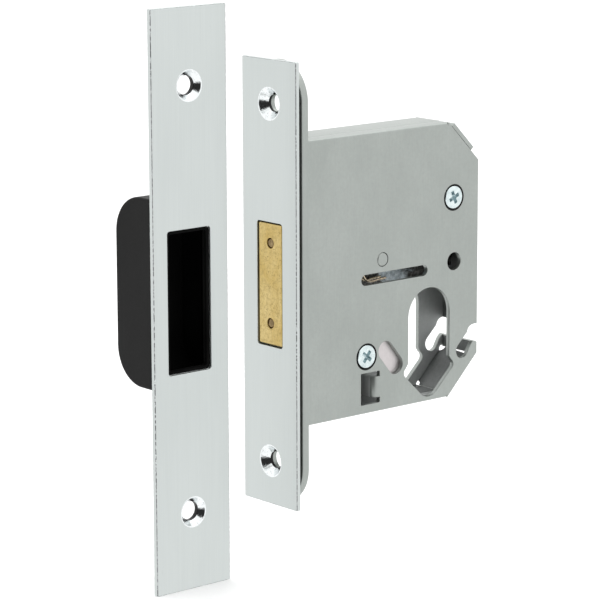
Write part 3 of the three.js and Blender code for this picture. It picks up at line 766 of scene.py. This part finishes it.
# -------- case cover
def window_hole():
    """The window; its corners at the tongue's root stay sharp."""
    low, high, root = TONGUE["z0"], TONGUE["z1"], WINDOW["root"]
    front, foot, head = WINDOW["y0"], WINDOW["z0"], WINDOW["z1"]
    points = [(front, foot), (root, foot), (root, low - 0.05), (root, low), (root, high),
              (root, high + 0.05), (root, head), (front, head)]

    def at_tongue(p):
        return abs(p.x - root) < 0.01 and low - 0.01 < p.y < high + 0.01

    outline = fillet(points, [0.25, 0.25, 0, 0, 0, 0, 0.25, 0.25], 3)
    return Hole(outline, arris(SHEET), square=at_tongue)


def tongue(solid):
    """The window's tongue, bent square into the case."""
    low, high, bend, root = TONGUE["z0"], TONGUE["z1"], TONGUE["bend"], WINDOW["root"]
    outside = arc((HALF - bend, root), bend, 0, -90, 10)
    inside = arc((HALF - bend, root), bend - SHEET, -90, 0, 8)
    tip = fillet([outside[-1], (TONGUE["end"], outside[-1].y), (TONGUE["end"], inside[0].y),
                  inside[0]], [0, 0.2, 0.2, 0], 3, closed=False)
    solid.plate(facing_down(low), high - low, outside + tip[1:-1] + inside,
                edge=arris(high - low, 0.12, 0.12, 2))
    # The tongue's inner faces get the lighter steel, as painted light.
    solid.paint(3, lambda middle, normal: middle.x < HALF - 1.6 and low < middle.z < high
                and root - bend - 0.1 < middle.y < root)


def case_cover():
    top_lip, low_lip = REAR - CHAMFER_TOP - LIP_GAP, REAR - CHAMFER_LOW - LIP_GAP
    outline = [(FRONT, -FOLD_Z), (FRONT, -FOLD_Z + 0.1), (FRONT, FOLD_Z - 0.1), (FRONT, FOLD_Z),
               (top_lip, FOLD_Z), (top_lip, TOP), (REAR - CHAMFER_TOP, TOP),
               (REAR, TOP - CHAMFER_TOP)]
    outline += notch_edge(REAR)[::-1]
    outline += [(REAR, -TOP + CHAMFER_LOW), (REAR - CHAMFER_LOW, -TOP), (low_lip, -TOP),
                (low_lip, -FOLD_Z)]
    through = arris(SHEET)
    seat = [(0.25, 0), (0.1, 0.04), (0, 0.14), (-0.25, 0.5), (-1.5, 1.5)]
    holes = [Hole(cylinder_hole(), through), Hole(obround(*LONG_SLOT), through),
             Hole(obround(*SLANT_SLOT), through), Hole(circle(*ROUND_HOLE, 40), through),
             Hole(circle(GUIDE, STUD_HOLE, 40), arris(SHEET, 0.05, 0.05, 1)), window_hole()]
    for y, z in (UPPER_SCREW, LOWER_SCREW):
        # Each seat goes near-black: painted shade in the gap round the screw head.
        holes.append(Hole(circle((y - SEAT_OFF, z), SCREW_RECESS), seat, slot=2))
    solid = Solid().plate(facing_cover(HALF), SHEET, outline, holes, square=at_fold)
    for edge, end in ((TOP, top_lip), (-TOP, low_lip)):
        folded_flange(solid, facing_front(FRONT), end - FRONT, SEAM + SEAM_GAP, 1, edge)
    lugs(solid, INNER)
    solid.paint(1, in_case)
    tongue(solid)
    return solid.piece("case_cover_shell", [STEEL, RAW, PAINTED_SHADE_BORE, PAINTED_LIGHT_STEEL])


# -------- case body
def far_wall(solid):
    """The far wall, its corners cut by the relief holes."""
    outline = [(FRONT, -FOLD_Z)]
    for centre, start, end in LOW_RELIEFS:
        outline += arc(centre, RELIEF, start, end)
    outline += [(FOLD_REAR, NOTCH_LOW)] + notch_edge(REAR)[2:-1] + [(FOLD_REAR, NOTCH_HIGH)]
    outline += [(FOLD_REAR, CUT_Z - RELIEF), (REAR, CUT_Z - RELIEF)]
    outline += bite((REAR, 0), (REAR, CUT_Z), (CUT_Y, TOP), RELIEF)[1:]
    outline += bite((REAR, CUT_Z), (CUT_Y, TOP), (0, TOP), RELIEF)
    outline += [(CUT_Y - RELIEF, FOLD_Z), (FRONT, FOLD_Z)]
    through = arris(SHEET)
    holes = [Hole(cylinder_hole(), through), Hole(circle(GUIDE, STUD_HOLE, 40), through)]
    holes += [Hole(circle(spot, PIN_HOLE, 40), through) for spot in (UPPER_SCREW, LOWER_SCREW)]
    solid.plate(facing_far(-HALF), SHEET, outline, holes, square=at_fold)


def upper_flange(solid):
    """The flange across the upper corner, lapped on the walls' ends."""
    start, end = Vector((REAR - 2, CUT_Z + 2)), Vector((CUT_Y + 0.4, TOP - 0.4))
    along = (end - start).normalized()
    across = Vector((-along.y, along.x)) * (LAP - 0.12)
    outline = fillet([start, end, end + across, start + across], 0.2, 3)
    width = 2 * HALF - 0.12
    solid.plate(facing_far(-HALF), width, outline, edge=arris(width, 0.12, 0.12, 2))


def corner_flange(solid):
    """The flange along the lower corner, with the relief holes' halves at its root."""
    slope = math.sqrt(0.5)
    plane = Plane((0, REAR - CHAMFER_LOW, -TOP), (1, 0, 0), (0, slope, slope),
                  (0, -slope, slope))
    root, tip = -INNER, INNER - LIP_GAP
    start, end = CORNER["start"] / slope, (CHAMFER_LOW - CORNER["end"]) / slope
    outline = bite((root, end), (root, start), (tip, start), RELIEF - 0.1)
    outline += fillet([outline[-1], (tip, start), (tip, end - CORNER["taper"]), (root, end)],
                      [0, 0.3, 0.3, 0], 3, closed=False)[1:-1]
    outline += bite((tip, end), (root, end), (root, start), RELIEF + 0.5)
    solid.plate(plane, SHEET, outline, edge=arris(SHEET, 0.12, 0.12, 2))


def case_body():
    solid = Solid()
    far_wall(solid)
    for edge, end in ((TOP, CUT_Y - RELIEF), (-TOP, REAR - CHAMFER_LOW - LIP_GAP)):
        folded_flange(solid, facing_front(FRONT), end - FRONT, SEAM - SEAM_GAP, -1, edge)
    for low, high in ((NOTCH_HIGH, CUT_Z - RELIEF), (-TOP + CHAMFER_LOW - 0.1, NOTCH_LOW)):
        folded_flange(solid, facing_down(low), high - low, INNER - LIP_GAP, -1, REAR, ARRIS)
    upper_flange(solid)
    corner_flange(solid)
    lugs(solid, -HALF)
    solid.paint(1, in_case)
    # The flanges' inner faces get the dark copy of the steel, as painted shade.
    solid.paint(2, lambda middle, normal: in_case(middle, normal) and abs(normal.x) < 0.5)
    return solid.piece("case_body_shell", [STEEL, RAW, PAINTED_SHADE_STEEL])


# -------- screws, post and pins
def cross_outline(centre, arm, half, turn):
    """A four-armed recess with rounded inner corners."""
    c, s = math.cos(turn), math.sin(turn)
    points, radii = [], []
    for quarter in range(4):
        for a, b, r in ((arm, -half, 0.18), (arm, half, 0.18), (half, half, 0.25)):
            for _ in range(quarter):
                a, b = -b, a
            points.append((centre[0] + a * c - b * s, centre[1] + a * s + b * c))
            radii.append(r)
    return fillet(points, radii, 3)


def cover_screw(name, centre, turn):
    thick, shank, length = SCREW["thick"], SCREW["shank"], SCREW["length"]
    plane = facing_cover(HALF - 0.05)
    recess = [(0.06, 0), (0.02, 0.02), (0, 0.08), (-0.22, 0.9), (-0.4, 1.1)]
    # The cross recess gets the darker zinc: painted shade, with dirt in it.
    cross = Hole(cross_outline(centre, 2.0, 0.55, turn), recess, 1, blind=True)
    edge = [(0.35, 0), (0.2, 0.03), (0.08, 0.1), (0, 0.25), (1.5, thick)]
    solid = Solid().plate(plane, thick, circle(centre, SCREW["head"]), [cross], edge)
    solid.turned(plane, centre, [(0, thick - 0.3), (shank, thick - 0.3), (shank, length - 0.5),
                                 (shank - 0.4, length), (0, length)])
    return solid.piece(name, [ZINC, SHADED])


def guide_post():
    low, high = span("bolt_guide_post")
    length = high.x - low.x
    radius, shoulder = POST["radius"], POST["shoulder"]
    seat = HALF + 0.1 - TAIL_X
    points = [(0, 0), (radius - 0.3, 0.02), (radius, 0.25), (radius, seat), (shoulder, seat),
              (shoulder, length - SHEET), (radius, length - SHEET), (radius, length - 0.02),
              (0, length)]
    profile = fillet(points, [0, 0.2, 0.2, 0, 0.2, 0, 0, 0.15, 0], 3, closed=False)
    solid = Solid().turned(facing_cover(high.x), GUIDE, profile)
    return solid.piece("guide_post_stud", [STEEL])


def hard_pin(name, node):
    low, high = span(node)
    radius = HARD_PIN["radius"]
    length = high.y - low.y
    profile = fillet([(0, 0), (radius - 0.25, 0), (radius, 0.25), (radius, length), (0, length)],
                     [0, 0.1, 0.1, 0.1, 0], 3, closed=False)
    solid = Solid().turned(facing_front(low.y), (0, (low.z + high.z) / 2), profile, steps=40)
    return solid.piece(name, [HARD])


# -------- bolt
def bolt_head():
    length = BOLT_HIGH.y - BOLT_LOW.y
    low = (BOLT_LOW.x + 0.15, BOLT_LOW.z + 0.06)
    outline = rectangle(low, (BOLT_HIGH.x, BOLT_HIGH.z), 0.55)
    radius = HARD_PIN["radius"] + HARD_PIN["bore"]
    bore = [(0.12, 0), (0.04, 0.03), (0, 0.12), (0, HARD_PIN["deep"])]
    holes = [Hole(circle((0, HARD_PIN[key]), radius, 40), bore, blind=True)
             for key in ("upper", "lower")]
    solid = Solid().plate(facing_front(BOLT_LOW.y), length, outline, holes,
                          arris(length, 0.35, 0.35, 5))
    return solid.piece("bolt_head_bar", [BRASS])


# -------- springs
def smooth_path(points, per_span=6):
    """A Catmull-Rom curve through the points."""
    points = [Vector(p) for p in points]
    padded = [points[0] * 2 - points[1]] + points + [points[-1] * 2 - points[-2]]
    path = []
    for a, b, c, d in zip(padded, padded[1:], padded[2:], padded[3:]):
        for i in range(per_span):
            t = i / per_span
            path.append(((b * 2) + (c - a) * t + (a * 2 - b * 5 + c * 4 - d) * t * t
                         + (b * 3 - a - c * 3 + d) * t ** 3) / 2)
    return path + [points[-1]]


def wire(name, x, route, radius, material, sides=16):
    """Round wire bent in a plane of constant x, with rounded ends."""
    path = [Vector((x, p.x, p.y)) for p in smooth_path(route)]
    ways = [(path[min(i + 1, len(path) - 1)] - path[max(i - 1, 0)]).normalized()
            for i in range(len(path))]
    rings = [(centre, way, 1) for centre, way in zip(path, ways)]
    ends = ((0.15, 0.75), (0.2, 0.01))      # how far past the end, and the share of the radius
    for reach, share in ends:
        rings.insert(0, (path[0] - ways[0] * reach, ways[0], share))
        rings.append((path[-1] + ways[-1] * reach, ways[-1], share))
    turns = [math.tau * i / sides for i in range(sides)]
    across = Vector((1, 0, 0))
    solid = Solid()
    for here, there in zip(rings, rings[1:]):
        for a, b in zip(turns, turns[1:] + turns[:1]):
            corners, normals = [], []
            for (centre, way, share), turn in ((here, a), (here, b), (there, b), (there, a)):
                out = across * math.cos(turn) + across.cross(way) * math.sin(turn)
                corners.append(centre + out * radius * share)
                normals.append(out)
            solid.face(corners, normals)
    return solid.piece(name, [material])


SPRING_WIRE = 0.34
SPRING_ROUTE = [(35.7, 16), (33.4, 16.1), (31, 15.2), (29.7, 12), (29.3, 7), (29.9, 3),
                (31.4, 0.6), (33.2, -1), (34.4, -2.6), (36.6, -3.3), (39, -3.05), (41, -2.95),
                (42.3, -2.9)]


# -------- strike and dust box
def keep_outline(smaller=0):
    """The strike's opening, or one that is smaller by some millimetres each way."""
    return centred(KEEP["y"], 0, KEEP["width"] - smaller, KEEP["height"] - smaller,
                   KEEP["corner"])


def strike_plate():
    plane = facing_cover(STRIKE_HIGH.x)
    outline = rectangle((STRIKE_LOW.y, STRIKE_LOW.z), (STRIKE_HIGH.y, STRIKE_HIGH.z), 0.35, 3)
    holes = [Hole(keep_outline(), arris(STRIKE_THICK))]
    profile = dimple(STRIKE_DIMPLE["rim"], STRIKE_DIMPLE["through"], STRIKE_THICK)
    for z in STRIKE_SCREWS:
        holes.append(Hole(circle((STRIKE_Y, z), STRIKE_DIMPLE["rim"]), profile, slot=1))
    solid = Solid().plate(plane, STRIKE_THICK, outline, holes, arris(STRIKE_THICK, 0.2, 0.15, 4))
    # The upright arrises get the dark edge look, which is painted shade along the plate's sides.
    solid.paint(2, lambda middle, normal: on_arris(middle, normal, STRIKE_SHEET_LOW, STRIKE_HIGH))
    through = [(STRIKE_Y, z) for z in STRIKE_SCREWS]
    # The through holes' walls go near-black, as painted shade.
    solid.paint(3, in_bore(through, 0, STRIKE_DIMPLE["through"] + 0.3))
    return solid.piece("strike_plate_shell", [CHROME, POLISH, PAINTED_SHADE_EDGE, PAINTED_SHADE_BORE])


def box_outline(front, back, low, high, corner):
    return ([Vector((front, low)), Vector((front, high))]
            + arc((back + corner, high - corner), corner, 90, 180, 20)
            + arc((back + corner, low + corner), corner, 180, 270, 20))


def dust_box():
    """The moulded box, and the collar that lines the strike's opening."""
    low, high, wall = BOX_LOW, BOX_HIGH, BOX_WALL
    front = STRIKE_HIGH.x - STRIKE_THICK - BOX_GAP
    width, clear = high.y - low.y, high.y - low.y - 2 * wall
    outline = box_outline(front, low.x, low.z, high.z, BOX_CORNER)
    shell = Solid().plate(facing_front(low.y), width, outline, edge=arris(width, 0.8, 0.8, 5))
    outline = box_outline(front - wall, low.x + wall, low.z + wall, high.z - wall,
                          BOX_CORNER - wall)
    room = Solid().plate(facing_front(low.y + wall), clear, outline,
                         edge=arris(clear, 0.5, 0.5, 3), slot=1)
    mouth = Solid().plate(facing_cover(front + 1), wall + 2, keep_outline(COLLAR["inside"]),
                          slot=1)
    finishes = [PLASTIC, MATT]
    box = shell.piece("dust_box_shell", finishes)
    carve(box, [room.piece("room", finishes), mouth.piece("mouth", finishes)])
    deep = COLLAR["deep"]
    edge = arris(deep, 0.1, 0.1, 2)
    collar = Solid().plate(facing_cover(front + COLLAR["proud"]), deep,
                           keep_outline(COLLAR["outside"]),
                           [Hole(keep_outline(COLLAR["inside"]), edge)], edge)
    return box, collar.piece("dust_box_collar", [MATT])


def carve(body, tools):
    """Cuts the tools out of the body, and removes them."""
    for tool in tools:
        cut = body.modifiers.new("cut", "BOOLEAN")
        cut.operation, cut.solver, cut.object = "DIFFERENCE", "EXACT", tool
    shade = body.modifiers.new("shade", "WEIGHTED_NORMAL")
    shade.keep_sharp = True
    graph = bpy.context.evaluated_depsgraph_get()
    made = bpy.data.meshes.new_from_object(body.evaluated_get(graph))
    body.modifiers.clear()
    body.data = made
    for tool in tools:
        bpy.data.objects.remove(tool)


# -------- putting it together
LOCK, BOLT, STRIKE = "lock_case", "bolt", "strike"


def fit(piece, body, slot, *nodes):
    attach(piece, body)
    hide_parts(*nodes)
    return piece


fit(faceplate(), LOCK, "chrome_plate", "faceplate")
fit(inner_forend(), LOCK, "satin_steel", "inner_forend")
fit(case_cover(), LOCK, "satin_steel", "case_cover")
fit(case_body(), LOCK, "satin_steel", "case_body")
for place, spot, turn in (("upper", UPPER_SCREW, 24), ("lower", LOWER_SCREW, 52)):
    fit(cover_screw(f"screw_head_{place}", spot, math.radians(turn)), LOCK, "zinc_plate",
        f"cover_screw_{place}")
fit(guide_post(), LOCK, "zinc_plate", "bolt_guide_post")
fit(bolt_head(), BOLT, "bolt_brass", "bolt_head")
for place in ("upper", "lower"):
    fit(hard_pin(f"hard_pin_{place}", f"bolt_hard_pin_{place}"), BOLT, "hard_steel",
        f"bolt_hard_pin_{place}")
fit(strike_plate(), STRIKE, "chrome_plate", "strike_plate")
box_shell, box_collar = dust_box()
fit(box_shell, STRIKE, "black_plastic", "dust_box")
box_shell.visible_glossy = False        # the faceplate beside it mirrors the lit room
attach(box_collar, STRIKE)

NODE_LOOKS = (
    (DULL, ("screw_pillar_upper", "screw_pillar_lower", "lever_spacer_far",
            "lever_spacer_middle", "lever_spacer_near")),
    # The levers and the bolt's tail get painted shade with a band of painted highlight.
    (PAINTED_SHADE_AND_HIGHLIGHT_ZINC, ("detainer_lever_1", "detainer_lever_2", "bolt_tail")),
    (COATED, ("hard_plate",)),
    (HARD, ("bolt_rivet_upper", "bolt_rivet_lower", "bolt_stump")),
)
for look, names in NODE_LOOKS:
    for name in names:
        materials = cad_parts[name].data.materials
        materials.clear()
        materials.append(look)

for index in (1, 2):
    low, high = span(f"lever_spring_{index}")
    spring = wire(f"hairpin_spring_{index}", (low.x + high.x) / 2, SPRING_ROUTE, SPRING_WIRE, WIRE)
    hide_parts(f"lever_spring_{index}")
    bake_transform(spring)

# -------- floor, light and camera
FLOOR_HALF = 8.0

floor_mesh = bpy.data.meshes.new("studio_floor")
floor_z = STRIKE_LOW.z * MM
floor_mesh.from_pydata([(x * FLOOR_HALF, y * FLOOR_HALF, floor_z)
                        for x, y in ((-1, -1), (1, -1), (1, 1), (-1, 1))], [], [(0, 1, 2, 3)])
floor = bpy.data.objects.new("studio_floor", floor_mesh)
bpy.context.scene.collection.objects.link(floor)
paper = Look("paper_white", 0.0)
paper_tone = paper.mix(paper.noise((0.004, 0.004, 0.004), 2), (0.93, 0.93, 0.93),
                       (0.95, 0.95, 0.95))
floor_mesh.materials.append(paper.finish(paper_tone, paper.spread(
    paper.noise((0.01, 0.01, 0.01), 2), 0, 1, 0.9, 1.0)))
floor.visible_glossy = False            # the metal mirrors the lit room, and not the sheet


def soft_box(name, place, aim, size, power):
    """A square area light; places are metres."""
    light = bpy.data.lights.new(name, "AREA")
    light.size = size
    light.energy = power
    lamp = bpy.data.objects.new(name, light)
    lamp.location = place
    lamp.rotation_euler = (Vector(aim) - Vector(place)).to_track_quat("-Z", "Y").to_euler()
    bpy.context.scene.collection.objects.link(lamp)


soft_box("overhead_soft_box", (-0.1, 0.3, 1.2), (0, 0, 0), 1.4, 7)

WORLD_BRIGHT, WORLD_DARK = 1.27, 0.03
ROOM_WAY = Vector((0.58, -0.78, 0.14)).normalized()  # the unlit side of the studio
world = bpy.data.worlds.new("studio")
bpy.context.scene.world = world
world.use_nodes = True
nodes, links = world.node_tree.nodes, world.node_tree.links
direction = nodes.new("ShaderNodeTexCoord").outputs["Generated"]
toward = nodes.new("ShaderNodeVectorMath")
toward.operation = "DOT_PRODUCT"
toward.inputs[1].default_value = ROOM_WAY
links.new(direction, toward.inputs[0])
shade = nodes.new("ShaderNodeMapRange")
shade.interpolation_type = "SMOOTHSTEP"
for socket, value in (("From Min", 0.83), ("From Max", 0.91), ("To Min", WORLD_BRIGHT),
                      ("To Max", WORLD_DARK)):
    shade.inputs[socket].default_value = value
links.new(toward.outputs["Value"], shade.inputs["Value"])
links.new(shade.outputs["Result"], nodes["Background"].inputs["Strength"])
nodes["Background"].inputs["Color"].default_value = (1, 1, 1, 1)

CAMERA_PLACE = (0.637634, -0.532882, 0.165016)
CAMERA_YAW, CAMERA_PITCH = math.radians(49.506), math.radians(11.538)
CAMERA_ROLL = math.radians(-0.179)
CAMERA_LENS = 174.5

camera_data = bpy.data.cameras.new("camera")
camera_data.lens = CAMERA_LENS
camera_data.sensor_width = 36
camera_data.clip_start = 0.01
camera_data.clip_end = 50
camera = bpy.data.objects.new("camera", camera_data)
bpy.context.scene.collection.objects.link(camera)
camera.matrix_world = (Matrix.Translation(CAMERA_PLACE) @ Matrix.Rotation(CAMERA_YAW, 4, "Z")
                       @ Matrix.Rotation(math.pi / 2 - CAMERA_PITCH, 4, "X")
                       @ Matrix.Rotation(CAMERA_ROLL, 4, "Z"))
bpy.context.scene.camera = camera
bpy.context.scene.view_settings.view_transform = "Standard"
